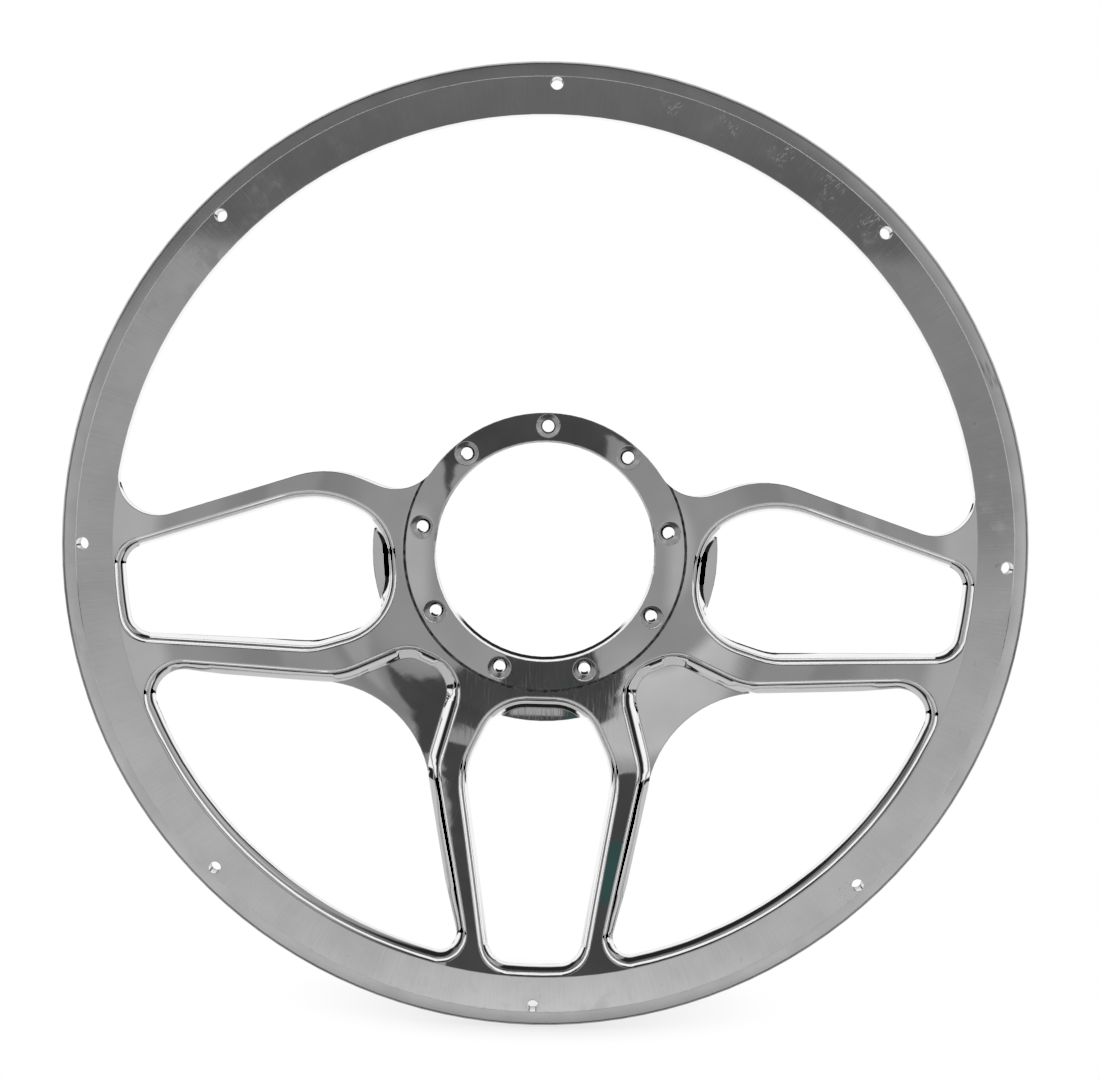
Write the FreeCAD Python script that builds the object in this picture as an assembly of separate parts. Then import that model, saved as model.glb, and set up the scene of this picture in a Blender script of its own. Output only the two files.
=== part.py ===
"""Steering wheel frame for a boat, milled in one piece from a plate of aluminium.

The wheel stands upright. Its axis is Y, the driver's side faces -Y, +Z is up, and the
origin is the middle of the hub's rear face. All sizes are in millimetres.

A height is measured along the axis from the hub's rear face towards the driver.
"""

import FreeCAD, Part
import math
import os

# Rim: a flat seat towards the driver, a lower outer band and a half-round back
outer_radius = 196.85
band_width = 6.35
band_drop = 1.0
outer_edge_radius = 1.6
seat_width = 14.9
rim_depth = 11.0
rim_side_wall = 4.0

# Grip holes: clear from the front, counterbored from the back for screw heads
grip_hole_count = 8
grip_hole_inset = 9.15
grip_hole_radius = 2.5
grip_hole_depth = 5.0
grip_counterbore_radius = 4.4

# Hub: a flat ring round the bore, sunk a little into the spokes' face, and a flange behind it
hub_thickness = 9.5
bore_radius = 46.1
bore_chamfer = 0.8
ring_width = 12.8
ring_edge = 0.4
ring_recess = 0.8
ring_wall_width = 1.0
adapter_hole_count = 9
adapter_hole_inset = 6.9
adapter_hole_radius = 2.5
countersink_radius = 4.95
countersink_angle = 82.0
flange_width = 14.7
flange_thickness = 3.5
foot_width = 2.5
foot_height = 3.7

# Dish: how far the rim's seat stands in front of the hub's ring
dish = 21.0
spoke_thickness_at_rim = 3.6

# Window edges, from a window's outline inwards: a bevelled lip, a small step and a bevelled wall
lip_bevel = 1.0
step_depth = 1.6
step_width = 0.5
wall_bevel = 2.1
deep_wall_bevel = 4.6
web_floor_depth = 6.4
web_corner_radius = 50.5
web_tip = 0.3

# Windows on the driver's right, as corner points (direction in degrees, distance out from the
# hub's ring, corner radius), and the directions in which their two straight sides leave for the rim
window_rim_gap = 0.4
side_window_corners = [
    (16.5, 37.6, 41.0),
    (9.9, 6.0, 26.0),
    (-29.3, 10.4, 28.0),
    (-24.9, 46.2, 30.0),
]
side_window_sides = (-18.3, 3.5)
side_window_rim_fillets = (12.0, 12.0)
bottom_window_corners = [
    (-69.2, 39.8, 33.5),
    (-71.8, 6.0, 22.6),
]
bottom_window_side = -99.5
bottom_window_rim_fillets = (13.0, 13.0)
lower_window_corners = [
    (-31.3, 40.8, 24.6),
    (-34.8, 10.1, 17.0),
    (-59.0, 0.9, 18.3),
    (-65.6, 42.2, 23.9),
]
lower_window_sides = (4.5, -101.5)
lower_window_rim_fillets = (15.0, 11.0)

# Top opening, over the spokes' crown and down to the saddle beside the hub
spoke_crown = (20.6, 37.8, 37.0)
spoke_top_side = -18.6
saddle_side = 201.5
saddle_fillet = 18.5
top_rim_fillet = 15.0

# How far cutters pass the wheel, and how near a point counts as on a line
clear = 10.0
close = 0.02

step_radius = outer_radius - band_width
rim_inner_radius = step_radius - seat_width
window_rim_radius = rim_inner_radius - window_rim_gap
grip_hole_circle = outer_radius - grip_hole_inset
ring_radius = bore_radius + ring_width
hub_outer_radius = ring_radius - ring_edge
adapter_hole_circle = bore_radius + adapter_hole_inset
flange_radius = ring_radius + flange_width
reach = outer_radius + clear
rim_height = hub_thickness + dish
cone_foot_radius = ring_radius + ring_wall_width
cone_foot_height = hub_thickness + ring_recess
cone_slope = (rim_height - cone_foot_height) / (rim_inner_radius - cone_foot_radius)
front_y = -(rim_height + clear)
back_y = clear
axis = FreeCAD.Vector(0, 1, 0)
centre = FreeCAD.Vector(0, 0, 0)


def face_height(radius):
    """Height of the driver's side of the spokes at a radius."""
    return rim_height - (rim_inner_radius - radius) * cone_slope


def placed(corners):
    """(across, up, corner radius) points from directions and distances out from the hub's ring."""
    points = []
    for direction, distance, radius in corners:
        turn = math.radians(direction)
        out = ring_radius + distance
        points.append((out * math.cos(turn), out * math.sin(turn), radius))
    return points


def turned(profile):
    """A solid turned about the axis from (radius, height) points."""
    points = [FreeCAD.Vector(0, -h, r) for r, h in profile]
    face = Part.Face(Part.makePolygon(points + points[:1]))
    return face.revolve(centre, axis, 360)


def disc(radius, low, high):
    """A plain disc about the axis between two heights."""
    return Part.makeCylinder(radius, high - low, FreeCAD.Vector(0, -high, 0), axis)


def above(depth):
    """All that lies in front of the spokes' face, shifted back by depth."""
    top = rim_height + clear
    profile = [
        (0, cone_foot_height - depth),
        (cone_foot_radius, cone_foot_height - depth),
        (rim_inner_radius, rim_height - depth),
        (reach, rim_height - depth),
        (reach, top),
        (0, top),
    ]
    return turned(profile)


def arc_corner(before, corner, after, radius):
    """Tangent points and middle of the arc that rounds a corner."""
    to_before = (before - corner).normalize()
    to_after = (after - corner).normalize()
    half_angle = to_before.getAngle(to_after) / 2
    tangent_length = radius / math.tan(half_angle)
    middle_line = (to_before + to_after).normalize()
    arc_middle = corner + middle_line * (radius / math.sin(half_angle) - radius)
    start = corner + to_before * tangent_length
    end = corner + to_after * tangent_length
    return start, arc_middle, end


def rounded_face(corners):
    """A flat face from (across, up, corner radius) points, its corners rounded by tangent arcs."""
    points = [FreeCAD.Vector(x, front_y, z) for x, z, _ in corners]
    count = len(points)
    edges = []
    stretches = []
    for i, (_, _, radius) in enumerate(corners):
        if radius > 0:
            start, middle, end = arc_corner(points[i - 1], points[i], points[(i + 1) % count], radius)
            edges.append(Part.Arc(start, middle, end).toShape())
        else:
            start = end = points[i]
        stretches.append((start, end))
    for i in range(count):
        leaving = stretches[i][1]
        arriving = stretches[(i + 1) % count][0]
        edges.append(Part.makeLine(leaving, arriving))
    return Part.Face(Part.Wire(Part.__sortEdges__(edges)))


def through(face):
    """A cutter that passes the whole wheel from a flat face in front of it."""
    return face.extrude(axis * (back_y - front_y))


def upright_edges(shape, radius):
    """Edges along the axis that lie at a radius."""
    found = []
    for edge in shape.Edges:
        a = edge.Vertexes[0].Point
        b = edge.Vertexes[-1].Point
        along = abs(a.x - b.x) < close and abs(a.z - b.z) < close and abs(a.y - b.y) > close
        if along and abs(math.hypot(a.x, a.z) - radius) < close:
            found.append(edge)
    return found


def front_outline(cutter):
    """The flat front face of a cutter."""
    for face in cutter.Faces:
        box = face.BoundBox
        if abs(box.YMin - front_y) < close and box.YLength < close:
            return face


def side_end(corner, angle):
    """Where a straight side that leaves a corner passes beyond the rim."""
    across = math.cos(math.radians(angle))
    up = math.sin(math.radians(angle))
    along = corner[0] * across + corner[1] * up
    length = math.sqrt(along**2 + reach**2 - corner[0] ** 2 - corner[1] ** 2) - along
    return (corner[0] + across * length, corner[1] + up * length, 0)


def beyond(start, end):
    """A point outside the rim between two side ends."""
    scale = 2 * reach / math.hypot(start[0] + end[0], start[1] + end[1])
    return ((start[0] + end[0]) * scale, (start[1] + end[1]) * scale, 0)


def nearest(edges, point):
    """The upright edge that stands nearest to an (across, up) point."""
    return min(edges, key=lambda e: math.dist((e.Vertexes[0].X, e.Vertexes[0].Z), point[:2]))


def window_outline(corners, sides, rim_fillets):
    """A window's outline: its corners, then straight sides out to an arc along the rim."""
    start = side_end(corners[0], sides[0])
    end = side_end(corners[-1], sides[1])
    cutter = through(rounded_face([start] + corners + [end, beyond(start, end)]))
    cutter = cutter.common(disc(window_rim_radius, -back_y, -front_y))
    for side, radius in zip((start, end), rim_fillets):
        edge = nearest(upright_edges(cutter, window_rim_radius), side)
        cutter = cutter.makeFillet(radius, [edge])
    return front_outline(cutter)


def mirrored(shape):
    """The same on the driver's left."""
    return shape.mirror(centre, FreeCAD.Vector(1, 0, 0))


def inset(face, distance):
    """A face's outline moved inwards."""
    return Part.Face(face.makeOffset2D(-distance).Wires[0])


def outline_at(face, height):
    """A flat face's outline, moved to a height."""
    border = face.OuterWire
    border.translate(FreeCAD.Vector(0, -height - front_y, 0))
    return border


def edges_at(shape, outline, depth):
    """Edges that follow an outline at a depth below the spokes' face."""
    found = []
    border = outline.OuterWire
    for edge in shape.Edges:
        inside = True
        for share in (0.25, 0.75):
            point = edge.valueAt(edge.FirstParameter + share * (edge.LastParameter - edge.FirstParameter))
            radius = math.hypot(point.x, point.z)
            inside = inside and abs(-point.y - face_height(radius) + depth) < close
            flat = Part.Vertex(point.x, front_y, point.z)
            inside = inside and flat.distToShape(border)[0] < close
        if inside:
            found.append(edge)
    return found


def blank():
    """The turned plate, still thick at the back."""
    profile = [
        (bore_radius, -clear),
        (bore_radius, hub_thickness - bore_chamfer),
        (bore_radius + bore_chamfer, hub_thickness),
        (ring_radius, hub_thickness),
        (cone_foot_radius, cone_foot_height),
        (rim_inner_radius, rim_height),
        (step_radius, rim_height),
        (step_radius, rim_height - band_drop),
        (outer_radius, rim_height - band_drop),
        (outer_radius, -clear),
    ]
    return turned(profile)


def back_envelope():
    """All that the finished wheel may fill: a flat hub, thinning spokes and a half-round rim."""
    band_height = rim_height - band_drop
    side_height = rim_height - rim_side_wall
    rim_middle = (rim_inner_radius + outer_radius) / 2
    flange_edge = FreeCAD.Vector(flange_radius, 0, 0)
    spoke_end = FreeCAD.Vector(rim_inner_radius, -(rim_height - spoke_thickness_at_rim), 0)
    rim_back = FreeCAD.Vector(rim_middle, -(rim_height - rim_depth), 0)
    rim_side = FreeCAD.Vector(outer_radius, -side_height, 0)
    edge_low = FreeCAD.Vector(outer_radius, -(band_height - outer_edge_radius), 0)
    edge_high = FreeCAD.Vector(outer_radius - outer_edge_radius, -band_height, 0)
    corner = 1 - math.sqrt(0.5)
    edge_middle = FreeCAD.Vector(
        outer_radius - outer_edge_radius * corner, -(band_height - outer_edge_radius * corner), 0
    )
    top_out = FreeCAD.Vector(outer_radius - outer_edge_radius, -(rim_height + clear), 0)
    top_in = FreeCAD.Vector(0, -(rim_height + clear), 0)
    edges = [
        Part.makeLine(centre, flange_edge),
        Part.makeLine(flange_edge, spoke_end),
        Part.Arc(spoke_end, rim_back, rim_side).toShape(),
        Part.makeLine(rim_side, edge_low),
        Part.Arc(edge_low, edge_middle, edge_high).toShape(),
        Part.makeLine(edge_high, top_out),
        Part.makeLine(top_out, top_in),
        Part.makeLine(top_in, centre),
    ]
    return Part.Face(Part.Wire(edges)).revolve(centre, axis, 360)


def holes(count, circle, cutter):
    """Copies of a cutter that stands on the axis, spaced round a circle from the top."""
    found = []
    for i in range(count):
        copy = cutter.copy()
        copy.translate(FreeCAD.Vector(0, 0, circle))
        copy.rotate(centre, axis, 360 * i / count)
        found.append(copy)
    return found


def adapter_hole():
    """A clear hole with a countersink for a flat-head screw."""
    sink = (countersink_radius - adapter_hole_radius) / math.tan(math.radians(countersink_angle / 2))
    profile = [
        (0, -clear),
        (adapter_hole_radius, -clear),
        (adapter_hole_radius, hub_thickness - sink),
        (countersink_radius, hub_thickness),
        (countersink_radius, hub_thickness + clear),
        (0, hub_thickness + clear),
    ]
    return turned(profile)


def grip_hole():
    """A clear hole in the rim's seat, opened from the back for a screw's head."""
    floor = rim_height - grip_hole_depth
    profile = [
        (0, -clear),
        (grip_counterbore_radius, -clear),
        (grip_counterbore_radius, floor),
        (grip_hole_radius, floor),
        (grip_hole_radius, rim_height + clear),
        (0, rim_height + clear),
    ]
    return turned(profile)


def top_opening():
    """The opening between the upper spokes, the rim and the hub."""
    across, up, radius = placed([spoke_crown])[0]
    right = side_end((across, up), spoke_top_side)
    left = (-right[0], right[1], 0)
    low = (0, up - across * math.tan(math.radians(saddle_side)), 0)
    bends = [right, (across, up, radius), low, (-across, up, radius), left]
    cutter = through(rounded_face(bends + [(-2 * reach, 2 * reach, 0), (2 * reach, 2 * reach, 0)]))
    cutter = cutter.common(disc(rim_inner_radius, -back_y, -front_y))
    cutter = cutter.cut(disc(hub_outer_radius, -back_y, -front_y))
    cutter = cutter.makeFillet(top_rim_fillet, upright_edges(cutter, rim_inner_radius))
    return cutter.makeFillet(saddle_fillet, upright_edges(cutter, hub_outer_radius))


def bevelled(shape, outline, depth, size):
    """A bevel along the edges that follow an outline at a depth."""
    return shape.makeChamfer(size, edges_at(shape, outline, depth))


def cut_window(body, outline, bevel, opening):
    """Cuts one window: its lip, the step behind the lip, the opening below and both bevels."""
    lip = inset(outline, lip_bevel)
    wall = inset(lip, step_width + bevel)
    body = body.cut(through(lip).common(above(step_depth)))
    body = body.cut(opening(wall))
    body = bevelled(body, wall, step_depth, bevel)
    return bevelled(body, lip, 0, lip_bevel)


def down_to_flange(wall):
    """A window's opening, which leaves the hub's flange standing in it, with a sloping foot by the wall."""
    foot_top = flange_thickness + foot_height
    foot_line = outline_at(wall, foot_top)
    flange_line = outline_at(inset(wall, foot_width), flange_thickness)
    slope = Part.makeLoft([foot_line, flange_line], True, True)
    return through(wall).cut(disc(flange_radius, -clear, foot_top).cut(slope))


def down_to_web(wall):
    """A pocket as deep as the web's face."""
    return through(wall).common(above(web_floor_depth))


def side_line(corner, angle, distance):
    """A straight side of the right lower window, moved into the window: a point and a direction."""
    direction = FreeCAD.Vector(math.cos(math.radians(angle)), 0, math.sin(math.radians(angle)))
    inward = axis.cross(direction)
    if inward.dot(FreeCAD.Vector(1, 0, -1)) < 0:
        inward = -inward
    return FreeCAD.Vector(corner[0], 0, corner[1]) + inward * distance, direction


def crossing(first, second):
    """Where two lines meet, each a point and a direction."""
    start, along = first
    other, across = second
    normal = axis.cross(across)
    return start + along * ((other - start).dot(normal) / along.dot(normal))


def web_opening(outline):
    """The opening below a web, whose free edge is one large arc between two spokes."""
    wall_distance = lip_bevel + step_width + deep_wall_bevel
    wall = inset(outline, wall_distance)
    distance = wall_distance - web_tip
    corners = placed(lower_window_corners)
    upper = side_line(corners[0], lower_window_sides[0], distance)
    lower = side_line(corners[-1], lower_window_sides[1], distance)
    meeting = crossing(upper, lower)
    corner = (meeting.x, meeting.z, web_corner_radius)
    start = side_end(corner, lower_window_sides[0])
    end = side_end(corner, lower_window_sides[1])
    shape = through(rounded_face([start, corner, end, beyond(start, end)]))
    return shape.common(through(wall))


def wheel_frame():
    """The whole wheel, turned, milled and drilled."""
    right_corners = placed(bottom_window_corners)
    left_corners = [(-x, z, r) for x, z, r in reversed(right_corners)]
    bottom_sides = (bottom_window_side, -180 - bottom_window_side)
    side = window_outline(placed(side_window_corners), side_window_sides, side_window_rim_fillets)
    bottom = window_outline(right_corners + left_corners, bottom_sides, bottom_window_rim_fillets)
    lower = window_outline(placed(lower_window_corners), lower_window_sides, lower_window_rim_fillets)
    body = blank()
    for outline in (side, mirrored(side), bottom):
        body = cut_window(body, outline, wall_bevel, down_to_flange)
    for outline in (lower, mirrored(lower)):
        body = cut_window(body, outline, deep_wall_bevel, down_to_web)
    opening = web_opening(lower)
    body = body.cut(opening).cut(mirrored(opening))
    body = body.cut(top_opening())
    body = body.common(back_envelope())
    body = body.cut(Part.makeCompound(holes(adapter_hole_count, adapter_hole_circle, adapter_hole())))
    body = body.cut(Part.makeCompound(holes(grip_hole_count, grip_hole_circle, grip_hole())))
    return body.Solids[0]


os.makedirs("parts", exist_ok=True)
wheel_frame().exportStep("parts/wheel_frame.step")
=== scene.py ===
"""The steering wheel frame with its plated finishes, the studio round it and the camera."""
import math

import bmesh
import bpy
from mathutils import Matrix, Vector


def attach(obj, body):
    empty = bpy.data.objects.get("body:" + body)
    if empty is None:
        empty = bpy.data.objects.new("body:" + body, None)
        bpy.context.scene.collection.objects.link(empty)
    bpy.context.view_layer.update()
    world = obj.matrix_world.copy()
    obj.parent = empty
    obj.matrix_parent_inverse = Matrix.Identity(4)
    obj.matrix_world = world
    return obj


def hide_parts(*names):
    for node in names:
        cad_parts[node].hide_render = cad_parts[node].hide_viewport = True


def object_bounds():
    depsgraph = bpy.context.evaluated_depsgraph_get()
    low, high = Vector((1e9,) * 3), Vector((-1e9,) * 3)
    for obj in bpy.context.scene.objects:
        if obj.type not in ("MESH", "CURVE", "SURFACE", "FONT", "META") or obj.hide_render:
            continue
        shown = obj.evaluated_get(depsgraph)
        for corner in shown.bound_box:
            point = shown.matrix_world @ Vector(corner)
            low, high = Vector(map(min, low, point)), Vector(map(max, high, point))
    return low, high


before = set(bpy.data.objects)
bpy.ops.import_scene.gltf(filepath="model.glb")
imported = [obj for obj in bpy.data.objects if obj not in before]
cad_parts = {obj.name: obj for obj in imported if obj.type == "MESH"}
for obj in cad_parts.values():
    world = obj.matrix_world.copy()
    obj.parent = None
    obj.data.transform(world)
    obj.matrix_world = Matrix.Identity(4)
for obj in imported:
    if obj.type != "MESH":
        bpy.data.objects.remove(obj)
cad_low, cad_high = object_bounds()

# The wheel's own measures, in metres. A height is measured from the hub's rear face to the front
RIM_HEIGHT = 0.0305
RIM_INNER_RADIUS = 0.1756
STEP_RADIUS = 0.1905
OUTER_RADIUS = 0.19685
FACE_FOOT_RADIUS = 0.0599
FACE_FOOT_HEIGHT = 0.0103
RING_RADIUS = 0.0589
BACK_FOOT_RADIUS = 0.0736
BACK_RIM_HEIGHT = 0.0269
FACE_SLOPE = (RIM_HEIGHT - FACE_FOOT_HEIGHT) / (RIM_INNER_RADIUS - FACE_FOOT_RADIUS)
BACK_SLOPE = BACK_RIM_HEIGHT / (RIM_INNER_RADIUS - BACK_FOOT_RADIUS)

# How edges are shaded: how far they ease, and past which angle they stay crisp
EDGE_EASE = 0.0005
EASE_SAMPLES = 6
CRISP_ANGLE = math.radians(28)
CORNER_ANGLE = math.radians(62)
FLAT_ANGLE = math.radians(0.2)
ROLLED_FROM = 0.0605
ROLLED_TO = 0.182
BEVEL_SHARE = 0.6
MERGE_DISTANCE = 0.000001

# How the outer band's normals lean outwards, at its inner edge and more at its outer one
BAND_LEAN = 0.02
BAND_LEAN_MORE = 0.1

# How near a facet's direction or place has to be to count as on a region of the wheel
FACING = 0.99995
ON_CONE = 0.9995
SLANTED = 0.97
STEEPEST_GROOVE = 0.05
STEP_REACH = 0.0012
OFF_FACE = 0.002
EDGE_SLACK = 0.0001
GROOVE_SLACK = 0.0002
CONE_SLACK = 0.0005

FRONT = Vector((0, -1, 0))
REAR = Vector((0, 1, 0))
MICRON = 0.000001

# Where the rim's seat is scuffed and its outer band rubbed dark, across and up, and how far each mark reaches
SCUFFS = [
    (0.0450, 0.1800), (0.0685, 0.1735), (0.0900, 0.1625),
    (0.1100, 0.1500), (0.1265, 0.1360), (0.1295, -0.1352),
]
SCUFF_REACH = 0.0065
RUBS = [(0.1765, 0.0795), (-0.1960, -0.0420)]
RUB_REACH = 0.009
COMBED_PLACE = [(0.0, -0.064)]
COMBED_REACH = 0.045

# Outlines of the stage's dark cards, across and up: a broad one, a slim one and a low one with a pale gap
BROAD_CARD = [
    (-0.120, 0.300), (-0.112, 0.060), (-0.103, 0.030), (-0.098, -0.015), (-0.092, 0.030),
    (-0.075, 0.034), (-0.060, 0.027), (-0.044, 0.021), (-0.030, 0.008), (-0.010, 0.002),
    (0.016, -0.003), (0.019, -0.022), (0.035, -0.021), (0.043, 0.002), (0.050, 0.022),
    (0.053, 0.050), (0.052, 0.062), (0.080, 0.050), (0.090, 0.300),
]
SLIM_CARD = [
    (-0.031, -0.074), (-0.026, -0.056), (-0.023, -0.049), (-0.0145, -0.037), (-0.007, -0.030),
    (-0.005, -0.034), (-0.0125, -0.041), (-0.017, -0.050), (-0.019, -0.058),
]
LOW_CARD = [
    (-0.038, -0.215), (-0.036, -0.150), (-0.027, -0.100), (-0.025, -0.075), (-0.020, -0.056),
    (-0.008, -0.055), (0.004, -0.062), (0.012, -0.072), (0.018, -0.070), (0.030, -0.078),
    (0.036, -0.100), (0.038, -0.150), (0.036, -0.215),
]
PALE_GAP = [(-0.022, -0.1325), (0.013, -0.1325), (0.013, -0.117), (-0.022, -0.117)]
WALL = [(-1.3, -1.0), (1.3, -1.0), (1.3, 1.4), (-1.3, 1.4)]

# How far in front of the hub's rear face the cards stand, and the teeth of their edges
WALL_DISTANCE = 0.8
BROAD_CARD_DISTANCE = 0.69
NEAR_CARD_DISTANCE = 0.3
PALE_GAP_DISTANCE = 0.299
BROAD_TEETH = (0.006, 0.002)
FINE_TEETH = (0.003, 0.0008)
TENT_DARK = 0.02

FLOOR_SIZE = 4.0
FLOOR_GAP = 0.0005

# The camera that was fitted to the photograph: metres, degrees and millimetres
CAMERA_PLACE = (0.00297, -0.5426, 0.04073)
CAMERA_TURN = (86.172, -1.534, 0.208)
CAMERA_FOCAL_LENGTH = 41.45
CAMERA_SENSOR_WIDTH = 36.0


class Value:
    """A number that a material's nodes work out, for use in plain expressions."""

    def __init__(self, maker, socket):
        self.maker = maker
        self.socket = socket

    def math(self, operation, other):
        return self.maker.node("ShaderNodeMath", {"operation": operation}, {0: self, 1: other}).out(0)

    def __add__(self, other):
        return self.math("ADD", other)

    def __radd__(self, other):
        return self.math("ADD", other)

    def __sub__(self, other):
        return self.math("SUBTRACT", other)

    def __rsub__(self, other):
        return (self * -1.0) + other

    def __mul__(self, other):
        return self.math("MULTIPLY", other)

    def __rmul__(self, other):
        return self.math("MULTIPLY", other)

    def __truediv__(self, other):
        return self.math("DIVIDE", other)

    def __pow__(self, other):
        return self.math("POWER", other)

    def ramp(self, start, end):
        """0 up to start, 1 from end on, and a soft step between."""
        step = self.maker.node(
            "ShaderNodeMapRange",
            {"interpolation_type": "SMOOTHSTEP"},
            {"Value": self, "From Min": start, "From Max": end},
        )
        return step.out(0)

    def fall(self, start, end):
        """1 up to start, 0 from end on, and a soft step between."""
        return 1.0 - self.ramp(start, end)

    def between(self, rise_start, rise_end, fall_start, fall_end):
        """1 between a rise and a fall, and 0 outside them."""
        return self.ramp(rise_start, rise_end) * self.fall(fall_start, fall_end)


class Node:
    """A node and its outputs."""

    def __init__(self, maker, node):
        self.maker = maker
        self.node = node

    def out(self, key):
        return Value(self.maker, self.node.outputs[key])


class Maker:
    """Adds nodes to one material or to the world."""

    def __init__(self, owner):
        owner.use_nodes = True
        self.tree = owner.node_tree
        self.tree.nodes.clear()

    def node(self, kind, settings=None, inputs=None):
        made = self.tree.nodes.new(kind)
        for name, setting in (settings or {}).items():
            setattr(made, name, setting)
        for key, value in (inputs or {}).items():
            if isinstance(value, Value):
                self.tree.links.new(value.socket, made.inputs[key])
            else:
                made.inputs[key].default_value = value
        return Node(self, made)

    def vector(self, x, y, z):
        return self.node("ShaderNodeCombineXYZ", None, {0: x, 1: y, 2: z}).out(0)

    def split(self, vector):
        """A vector's three numbers."""
        parts = self.node("ShaderNodeSeparateXYZ", None, {0: vector})
        return parts.out(0), parts.out(1), parts.out(2)

    def noise(self, vector, scale, detail, roughness):
        inputs = {"Vector": vector, "Scale": scale, "Detail": detail, "Roughness": roughness}
        return self.node("ShaderNodeTexNoise", None, inputs).out("Fac")

    def streaks(self, x, y, z, detail=3.0, roughness=0.6):
        """Noise over three numbers, each already drawn out by its own scale."""
        return self.noise(self.vector(x, y, z), 1.0, detail, roughness)

    def tint(self, amount, low, high):
        """A colour between two colours."""
        mixed = self.node("ShaderNodeMix", {"data_type": "RGBA"}, {0: amount, 6: low, 7: high})
        return mixed.out(2)

    def place(self):
        """The object's own place vector."""
        return self.node("ShaderNodeTexCoord").out("Object")


class WheelPlace:
    """Where a point lies on the wheel: place vector, x, z, radius and direction from the axis."""

    def __init__(self, maker):
        self.spot = maker.place()
        self.x, _, self.z = maker.split(self.spot)
        self.radius = (self.x * self.x + self.z * self.z) ** 0.5
        self.across = self.x / self.radius
        self.up = self.z / self.radius

    def near_to(self, places, reach):
        """1 close to any of the places and 0 past reach."""
        total = None
        for x, z in places:
            away = (self.x - x) * (self.x - x) + (self.z - z) * (self.z - z)
            share = away.fall(0.0, reach * reach)
            total = share if total is None else total + share
        return total

    def rings(self, maker):
        """The fine rings that the lathe leaves."""
        return maker.streaks(self.across * 3.0, self.up * 3.0, self.radius * 1400.0, 2.0, 0.5)


def grey(level):
    return (level, level, level, 1.0)


def metal(shape):
    """A plated metal whose colour, roughness, relief and relief's depth come from shape(maker)."""
    material = bpy.data.materials.new(shape.__name__)
    maker = Maker(material)
    colour, roughness, relief, depth = shape(maker)
    eased = maker.node("ShaderNodeBevel", {"samples": EASE_SAMPLES}, {"Radius": EDGE_EASE})
    bump = maker.node(
        "ShaderNodeBump",
        None,
        {"Strength": 1.0, "Distance": depth, "Height": relief, "Normal": eased.out(0)},
    )
    surface = maker.node(
        "ShaderNodeBsdfPrincipled",
        None,
        {"Base Color": colour, "Metallic": 1.0, "Roughness": roughness, "Normal": bump.out(0)},
    )
    maker.node("ShaderNodeOutputMaterial", None, {"Surface": surface.out(0)})
    return material


def polished_face(maker):
    """The spokes' and hub's face: mirror plating with faint hairlines, combed under the hub."""
    at = WheelPlace(maker)
    hairs = maker.streaks(at.across * 260.0, at.up * 260.0, at.radius * 60.0)
    clouds = maker.noise(at.spot, scale=35.0, detail=3.0, roughness=0.5)
    combed = maker.streaks(at.x * 1600.0, 0.0, at.z * 70.0).ramp(0.45, 0.7)
    colour = maker.tint(clouds.ramp(0.3, 0.7), grey(0.72), grey(0.8))
    roughness = 0.02 + hairs.ramp(0.5, 0.8) * 0.04 + at.near_to(COMBED_PLACE, COMBED_REACH) * combed * 0.12
    return colour, roughness, hairs, 0.8 * MICRON


def brushed_seat(maker):
    """The rim's flat: fine strokes across the rim, haze, rubbed specks and a few scuffs."""
    at = WheelPlace(maker)
    strokes = maker.streaks(at.across * 700.0, at.up * 700.0, at.radius * 40.0)
    clouds = maker.noise(at.spot, scale=45.0, detail=4.0, roughness=0.55)
    specks = maker.noise(at.spot, scale=160.0, detail=3.0, roughness=0.6).ramp(0.68, 0.76)
    haze = maker.noise(at.spot, scale=110.0, detail=5.0, roughness=0.7).ramp(0.48, 0.7)
    scratches = maker.streaks((at.x + at.z) * 260.0, 0.0, (at.x - at.z) * 1500.0).ramp(0.52, 0.6)
    clumps = maker.noise(at.spot, scale=230.0, detail=2.0, roughness=0.6).ramp(0.46, 0.58)
    worn = at.near_to(SCUFFS, SCUFF_REACH) * scratches * clumps
    colour = maker.tint((strokes * 0.4 + clouds * 0.6).ramp(0.3, 0.7), grey(0.8), grey(0.94))
    colour = maker.tint(specks * 0.4, colour, grey(0.45))
    roughness = 0.05 + clouds.ramp(0.4, 0.75) * 0.06 + strokes.ramp(0.4, 0.8) * 0.05
    roughness = roughness + haze * 0.14 + worn * 0.8
    return colour, roughness, strokes, 0.25 * MICRON


def turned_band(maker):
    """The rim's lower outer band: fine rings from the lathe and two dark rubs."""
    at = WheelPlace(maker)
    rings = at.rings(maker)
    clouds = maker.noise(at.spot, scale=60.0, detail=3.0, roughness=0.5)
    streaked = maker.streaks(at.radius * 900.0, at.x * 60.0, at.z * 60.0, 2.0).ramp(0.5, 0.6)
    colour = maker.tint(clouds.ramp(0.3, 0.7), grey(0.78), grey(0.9))
    colour = maker.tint(at.near_to(RUBS, RUB_REACH) * streaked * 0.7, colour, grey(0.25))
    roughness = 0.2 + rings * 0.06 + clouds * 0.05
    return colour, roughness, rings, 0.3 * MICRON


def bright_edge(maker):
    """The windows' bevels: bright mirror plating, with the faint ripple of the cutter."""
    ripple = maker.noise(maker.place(), scale=90.0, detail=2.0, roughness=0.5)
    colour = maker.tint(ripple, grey(0.82), grey(0.9))
    roughness = 0.02 + ripple * 0.03
    return colour, roughness, ripple, 0.5 * MICRON


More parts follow.
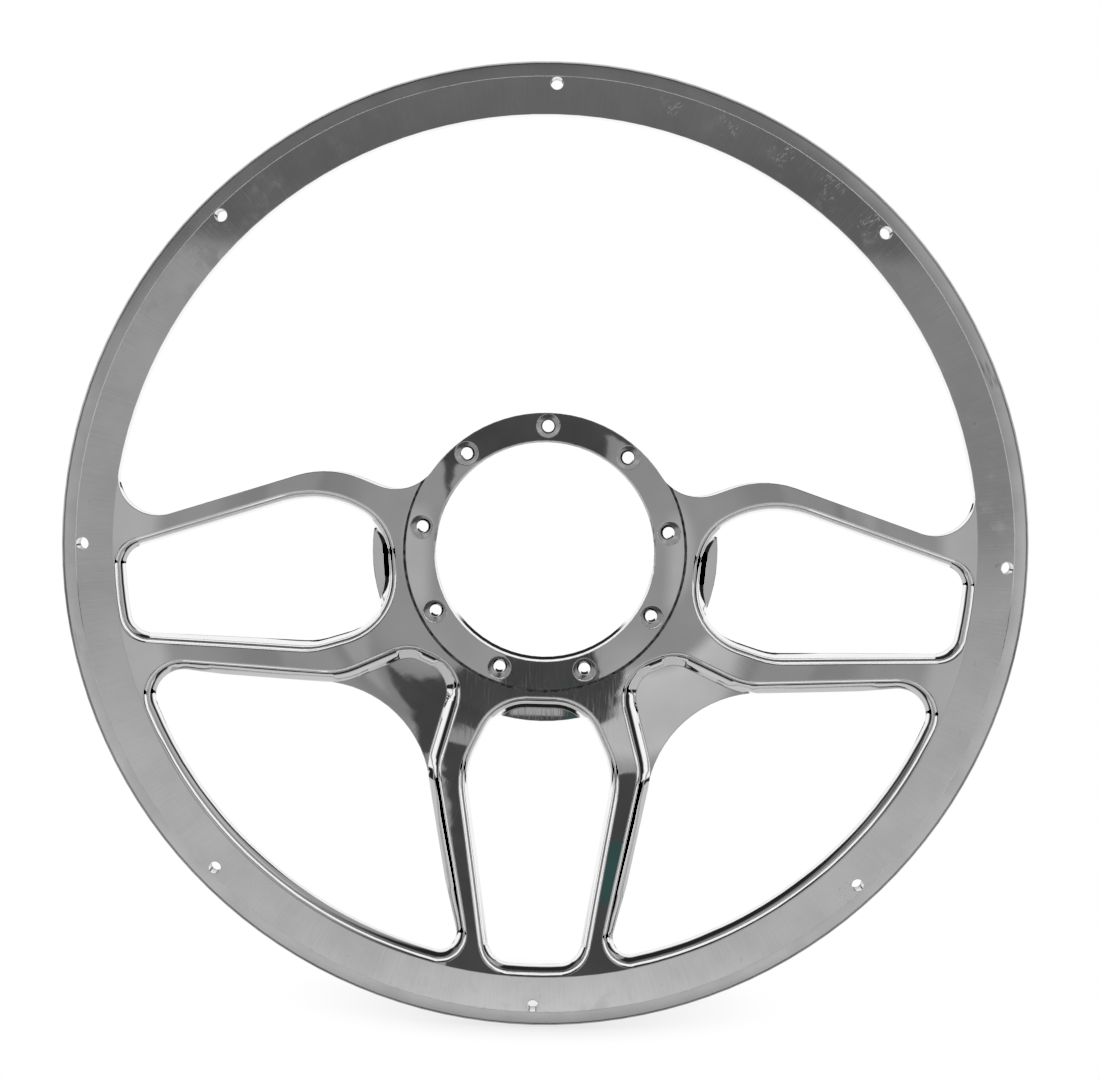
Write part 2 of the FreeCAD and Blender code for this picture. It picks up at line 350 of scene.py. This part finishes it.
def groove_painted_shade(maker):
    """The sunk edge round the hub's ring, painted near black as shade in the groove, with a random mottle."""
    mottle = maker.noise(maker.place(), scale=400.0, detail=3.0, roughness=0.6)
    # The near-black colour is painted shade in the sunk groove, not a real stain
    colour = maker.tint(mottle.ramp(0.35, 0.7), grey(0.03), grey(0.16))
    roughness = 0.3 + mottle * 0.2
    return colour, roughness, mottle, 10.0 * MICRON


def satin_back(maker):
    """The back and the rim's round outside: plating over the lathe's marks, never buffed."""
    at = WheelPlace(maker)
    rings = at.rings(maker)
    clouds = maker.noise(at.spot, scale=40.0, detail=4.0, roughness=0.55)
    colour = maker.tint((clouds * 0.6 + rings * 0.4).ramp(0.35, 0.65), grey(0.4), grey(0.56))
    roughness = 0.24 + rings * 0.08 + clouds * 0.08
    return colour, roughness, rings, 2.0 * MICRON


FINISHES = [polished_face, brushed_seat, turned_band, bright_edge, groove_painted_shade, satin_back]
POLISHED, BRUSHED, TURNED, BRIGHT, GROOVE, SATIN = range(len(FINISHES))


def face_height(radius):
    """Height of the spokes' face at a radius."""
    return RIM_HEIGHT - (RIM_INNER_RADIUS - radius) * FACE_SLOPE


def cone_normal(spot, slope, side):
    """The true normal of a cone about the axis at a spot, towards a side: FRONT or REAR."""
    radius = math.hypot(spot.x, spot.z)
    outward = slope * side.y
    return Vector((spot.x / radius * outward, side.y, spot.z / radius * outward)).normalized()


def face_normal(spot):
    return cone_normal(spot, FACE_SLOPE, FRONT)


def back_normal(spot):
    return cone_normal(spot, BACK_SLOPE, REAR)


def band_normal(spot):
    """The outer band's normal, which leans outwards a little more towards its outer edge."""
    share = (math.hypot(spot.x, spot.z) - STEP_RADIUS) / (OUTER_RADIUS - STEP_RADIUS)
    outward = Vector((spot.x, 0, spot.z)).normalized()
    return (outward * (BAND_LEAN + share * BAND_LEAN_MORE) + FRONT).normalized()


TRUE_NORMALS = {
    "band": band_normal,
    "face": face_normal,
    "back": back_normal,
    "flat": lambda spot: FRONT,
    "rear": lambda spot: REAR,
}


def finish_and_rule(middle, normal):
    """Which finish a facet has, and which of TRUE_NORMALS its corners follow, if any."""
    radius = math.hypot(middle.x, middle.z)
    height = -middle.y
    front = -normal.y
    at_step = abs(radius - STEP_RADIUS) < STEP_REACH and abs(height - RIM_HEIGHT) < OFF_FACE
    if at_step and front < SLANTED:
        return BRIGHT, None
    if front > FACING:
        if radius > STEP_RADIUS - EDGE_SLACK:
            return TURNED, "band"
        return (BRUSHED if radius > RIM_INNER_RADIUS - EDGE_SLACK else POLISHED), "flat"
    inside_rim = radius < RIM_INNER_RADIUS + CONE_SLACK
    if inside_rim and normal.dot(face_normal(middle)) > ON_CONE:
        return POLISHED, "face"
    if front < -FACING:
        return SATIN, "rear"
    if inside_rim and normal.dot(back_normal(middle)) > ON_CONE:
        return SATIN, "back"
    on_rim = radius > RIM_INNER_RADIUS and abs(height - face_height(radius)) > OFF_FACE
    if on_rim or radius > STEP_RADIUS:
        return SATIN, None
    # Facets of the sunk groove round the ring get the finish with painted shade
    by_ring = RING_RADIUS - GROOVE_SLACK < radius < FACE_FOOT_RADIUS + GROOVE_SLACK
    if by_ring and STEEPEST_GROOVE < front < SLANTED:
        return GROOVE, None
    return BRIGHT, None


def is_bright(face):
    return finish_and_rule(face.calc_center_median(), face.normal)[0] == BRIGHT


def mark_crisp_edges(mesh):
    """Keeps the real corners of the milled shape crisp, and rolls the windows' bevels over, in edit mode."""
    bpy.ops.mesh.select_all(action="DESELECT")
    work = bmesh.from_edit_mesh(mesh)
    for edge in work.edges:
        middle = (edge.verts[0].co + edge.verts[1].co) / 2
        by_windows = ROLLED_FROM < math.hypot(middle.x, middle.z) < ROLLED_TO
        rolled = by_windows and all(is_bright(face) for face in edge.link_faces)
        edge.select = edge.calc_face_angle(0.0) > (CORNER_ANGLE if rolled else CRISP_ANGLE)
    work.select_flush_mode()
    bmesh.update_edit_mesh(mesh)
    bpy.ops.mesh.mark_sharp()


def flat_patches(work):
    """The number of each face's flat patch, and each patch's pull on the normals at its corners."""
    number, pulls = {}, []
    for first in work.faces:
        if first in number:
            continue
        patch = [first]
        number[first] = len(pulls)
        for face in patch:
            for edge in face.edges:
                for other in edge.link_faces:
                    if other not in number and first.normal.angle(other.normal, 0.0) < FLAT_ANGLE:
                        number[other] = len(pulls)
                        patch.append(other)
        square_millimetres = sum(face.calc_area() for face in patch) * 1000000.0
        pulls.append(first.normal * square_millimetres * square_millimetres)
    return number, pulls


def smooth_fans(spot):
    """The faces round a vertex, in groups that no crisp edge parts."""
    left = set(spot.link_faces)
    while left:
        fan = [left.pop()]
        for face in fan:
            for edge in face.edges:
                if edge.smooth and spot in edge.verts:
                    fan.extend(other for other in edge.link_faces if other in left)
                    left.difference_update(edge.link_faces)
        yield fan


def rolled_normals(mesh):
    """A normal for each corner, led by the largest flat patch that meets there smoothly."""
    work = bmesh.new()
    work.from_mesh(mesh)
    number, pulls = flat_patches(work)
    normals = [corner.vector.copy() for corner in mesh.corner_normals]
    for spot in work.verts:
        for fan in smooth_fans(spot):
            normal = Vector((0, 0, 0))
            for patch in sorted({number[face] for face in fan}):
                normal += pulls[patch]
            for face in fan:
                for corner, loop in zip(mesh.polygons[face.index].loop_indices, face.loops):
                    if loop.vert == spot and normal.length > 0:
                        normals[corner] = normal.normalized()
    work.free()
    return normals


def lay_finishes(mesh):
    """Gives each facet its finish, and each corner its true normal."""
    normals = rolled_normals(mesh)
    rules = [finish_and_rule(polygon.center, polygon.normal) for polygon in mesh.polygons]
    on_face = set()
    for polygon, (_, rule) in zip(mesh.polygons, rules):
        if rule == "face":
            on_face.update(polygon.vertices)
    for polygon, (finish, rule) in zip(mesh.polygons, rules):
        polygon.material_index = finish
        for corner in polygon.loop_indices:
            vertex = mesh.loops[corner].vertex_index
            spot = mesh.vertices[vertex].co
            if rule:
                normals[corner] = TRUE_NORMALS[rule](spot)
            elif finish == BRIGHT and vertex in on_face:
                eased = normals[corner] * BEVEL_SHARE + face_normal(spot) * (1 - BEVEL_SHARE)
                normals[corner] = eased.normalized()
    mesh.normals_split_custom_set(normals)


def dress_wheel():
    """The wheel frame's mesh, merged and smoothly shaded, with its finishes laid on by region."""
    bpy.ops.object.select_all(action="DESELECT")
    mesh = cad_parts["wheel_frame"].data.copy()
    mesh.name = "plated_wheel"
    wheel = bpy.data.objects.new("plated_wheel", mesh)
    bpy.context.scene.collection.objects.link(wheel)
    mesh.materials.clear()
    for finish in FINISHES:
        mesh.materials.append(metal(finish))
    wheel.select_set(True)
    bpy.context.view_layer.objects.active = wheel
    bpy.ops.object.mode_set(mode="EDIT")
    bpy.ops.mesh.select_mode(type="EDGE")
    bpy.ops.mesh.select_all(action="SELECT")
    bpy.ops.mesh.remove_doubles(threshold=MERGE_DISTANCE)
    bpy.ops.mesh.faces_shade_smooth()
    mark_crisp_edges(mesh)
    bpy.ops.object.mode_set(mode="OBJECT")
    lay_finishes(mesh)
    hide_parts("wheel_frame")
    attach(wheel, "root")


def glow(name, level_of):
    """A stage material that only glows, at a level worked out by level_of(maker)."""
    material = bpy.data.materials.new(name)
    maker = Maker(material)
    emission = maker.node("ShaderNodeEmission", None, {"Color": level_of(maker), "Strength": 1.0})
    maker.node("ShaderNodeOutputMaterial", None, {"Surface": emission.out(0)})
    return material


def wall_level(maker):
    """The tent's front wall: pale low down, mid grey in the middle, dark high up and round its edges."""
    spot = maker.place()
    x, _, z = maker.split(spot)
    height = z + (maker.noise(spot, scale=14.0, detail=3.0, roughness=0.6) - 0.5) * 0.03
    aside = x * x
    shaded_right = x.ramp(0.1, 0.35) * height.ramp(-0.1, 0.0)
    low_right = x.between(0.04, 0.1, 0.2, 0.3) * height.between(-0.34, -0.26, -0.17, -0.13)
    far_right = x.ramp(0.46, 0.56) * height.ramp(-0.3, -0.2)
    left_patch = x.between(-0.085, -0.07, -0.025, -0.015) * height.between(-0.05, -0.035, 0.03, 0.05)
    right_patch = x.between(0.03, 0.036, 0.055, 0.07) * height.between(-0.06, -0.05, -0.03, -0.02)
    from_spokes = height + 0.07
    sides = aside.between(0.0135, 0.018, 0.025, 0.06) * (from_spokes * from_spokes).fall(0.001, 0.004)
    beside_middle = aside.between(0.0003, 0.0008, 0.002, 0.006) * height.ramp(-0.12, -0.08)

    cloth = 0.335 + height.fall(-0.35, -0.05) * 0.13 + height.fall(-0.56, -0.46) * 0.15
    cloth = cloth * (1.0 - shaded_right * 0.28) + far_right * 0.12
    cloth = cloth + aside.ramp(0.25, 0.45) * 0.12 - z.fall(-0.68, -0.58) * 0.2
    cloth = cloth + low_right * 0.05 + (left_patch + right_patch * 0.35) * 0.3
    cloth = cloth + sides * 0.16 - beside_middle * 0.06

    high_up = height.ramp(0.235, 0.255)
    ceiling = 0.12 + height.ramp(0.3, 0.5) * 0.05 - height.ramp(0.6, 0.7) * 0.15 + x.ramp(0.33, 0.5) * 0.32
    level = cloth * (1.0 - high_up) + high_up * ceiling
    edges = 1.0 - aside.fall(0.9, 1.1) * z.ramp(-0.85, -0.8)
    return level * (1.0 - edges) + edges * TENT_DARK


def dark_level(maker):
    """The dark cards, with a green cast low on the right."""
    spot = maker.place()
    x, _, z = maker.split(spot)
    shade = 0.045 + maker.noise(spot, scale=30.0, detail=2.0, roughness=0.5) * 0.05
    green = x.ramp(0.013, 0.018) * z.between(-0.15, -0.142, -0.113, -0.107)
    return maker.tint(green, maker.vector(shade, shade, shade), (0.04, 0.088, 0.082, 1.0))


def card(name, outline, distance, material):
    """A stage card across the wheel's axis, seen only in the metal."""
    work = bmesh.new()
    corners = [work.verts.new((x, -distance, z)) for x, z in outline]
    work.faces.new(corners)
    mesh = bpy.data.meshes.new(name)
    work.to_mesh(mesh)
    work.free()
    mesh.materials.append(material)
    made = bpy.data.objects.new(name, mesh)
    bpy.context.scene.collection.objects.link(made)
    made.visible_camera = False
    made.visible_diffuse = False
    made.visible_shadow = False


def ragged(points, teeth):
    """An outline with small teeth, as cut by hand, between the given corners: teeth is step and reach."""
    step, reach = teeth
    outline = []
    for i, (x, z) in enumerate(points):
        next_x, next_z = points[(i + 1) % len(points)]
        length = math.hypot(next_x - x, next_z - z)
        across, up = (next_z - z) / length, -(next_x - x) / length
        count = max(1, int(length / step))
        for k in range(count):
            share = k / count
            swing = reach * math.sin(k * 2.4 + i * 1.7) * math.sin(k * 0.9 + 1.0)
            edge_x = x + (next_x - x) * share + across * swing
            edge_z = z + (next_z - z) * share + up * swing
            outline.append((edge_x, edge_z))
    return outline


def around_level(maker):
    """The tent all round: white overhead and behind, pale below, with dark gaps at its joins."""
    x, y, z = maker.split(maker.node("ShaderNodeTexCoord").out("Generated"))
    side_gap = (x * x).ramp(0.5, 0.7) * z.between(-0.27, -0.24, -0.17, -0.13)
    rear_gap = y.ramp(0.5, 0.6) * z.between(0.03, 0.06, 0.2, 0.24)
    front_gap = y.fall(-0.45, -0.35)
    gap = side_gap + rear_gap + front_gap
    above = z.ramp(-0.3, -0.1)
    level = 0.62 + (above + y.ramp(0.4, 0.7) * (1.0 - above)) * 0.43
    return level * (1.0 - gap) + gap * TENT_DARK


def studio():
    """A white world to the camera, and to the metal a pale tent with dark cards before its front wall."""
    world = bpy.data.worlds.new("studio")
    bpy.context.scene.world = world
    maker = Maker(world)
    seen = maker.node("ShaderNodeLightPath").out("Is Camera Ray")
    shade = around_level(maker) * (1.0 - seen) + seen
    background = maker.node("ShaderNodeBackground", None, {"Color": shade, "Strength": 1.0})
    maker.node("ShaderNodeOutputWorld", None, {"Surface": background.out(0)})
    card("front_wall", WALL, WALL_DISTANCE, glow("tent_wall", wall_level))
    dark = glow("lens_dark", dark_level)
    card("lens_body", ragged(BROAD_CARD, BROAD_TEETH), BROAD_CARD_DISTANCE, dark)
    card("lens_arm", ragged(SLIM_CARD, FINE_TEETH), NEAR_CARD_DISTANCE, dark)
    card("lens_stand", ragged(LOW_CARD, FINE_TEETH), NEAR_CARD_DISTANCE, dark)
    card("stand_gap", PALE_GAP, PALE_GAP_DISTANCE, glow("pale_gap", lambda maker: grey(0.45)))


def white_floor():
    """A white floor just under the rim that keeps the wheel's soft shadow."""
    bpy.ops.object.select_all(action="DESELECT")
    bpy.ops.mesh.primitive_plane_add(size=FLOOR_SIZE, location=(0, 0, cad_low.z - FLOOR_GAP))
    floor = bpy.context.object
    floor.name = "floor"
    floor.visible_glossy = False
    material = bpy.data.materials.new("white_paper")
    maker = Maker(material)
    x, y, _ = maker.split(maker.place())
    under_rim = ((x * x * 5.0 + y * y * 30.0) ** 0.5).fall(0.06, 0.26)
    paper = maker.node("ShaderNodeBsdfDiffuse", None, {"Color": grey(0.9)})
    white = maker.node("ShaderNodeEmission", None, {"Color": grey(1.0), "Strength": 1.0})
    mixed = maker.node("ShaderNodeMixShader", None, {0: under_rim * 0.5, 1: white.out(0), 2: paper.out(0)})
    maker.node("ShaderNodeOutputMaterial", None, {"Surface": mixed.out(0)})
    floor.data.materials.append(material)


def camera():
    """The photograph's view: half a metre in front and a little above the axis."""
    data = bpy.data.cameras.new("camera")
    data.lens = CAMERA_FOCAL_LENGTH
    data.sensor_width = CAMERA_SENSOR_WIDTH
    view = bpy.data.objects.new("camera", data)
    view.location = CAMERA_PLACE
    view.rotation_euler = [math.radians(turn) for turn in CAMERA_TURN]
    bpy.context.scene.collection.objects.link(view)
    bpy.context.scene.camera = view


bpy.context.scene.view_settings.view_transform = "Standard"
dress_wheel()
studio()
white_floor()
camera()
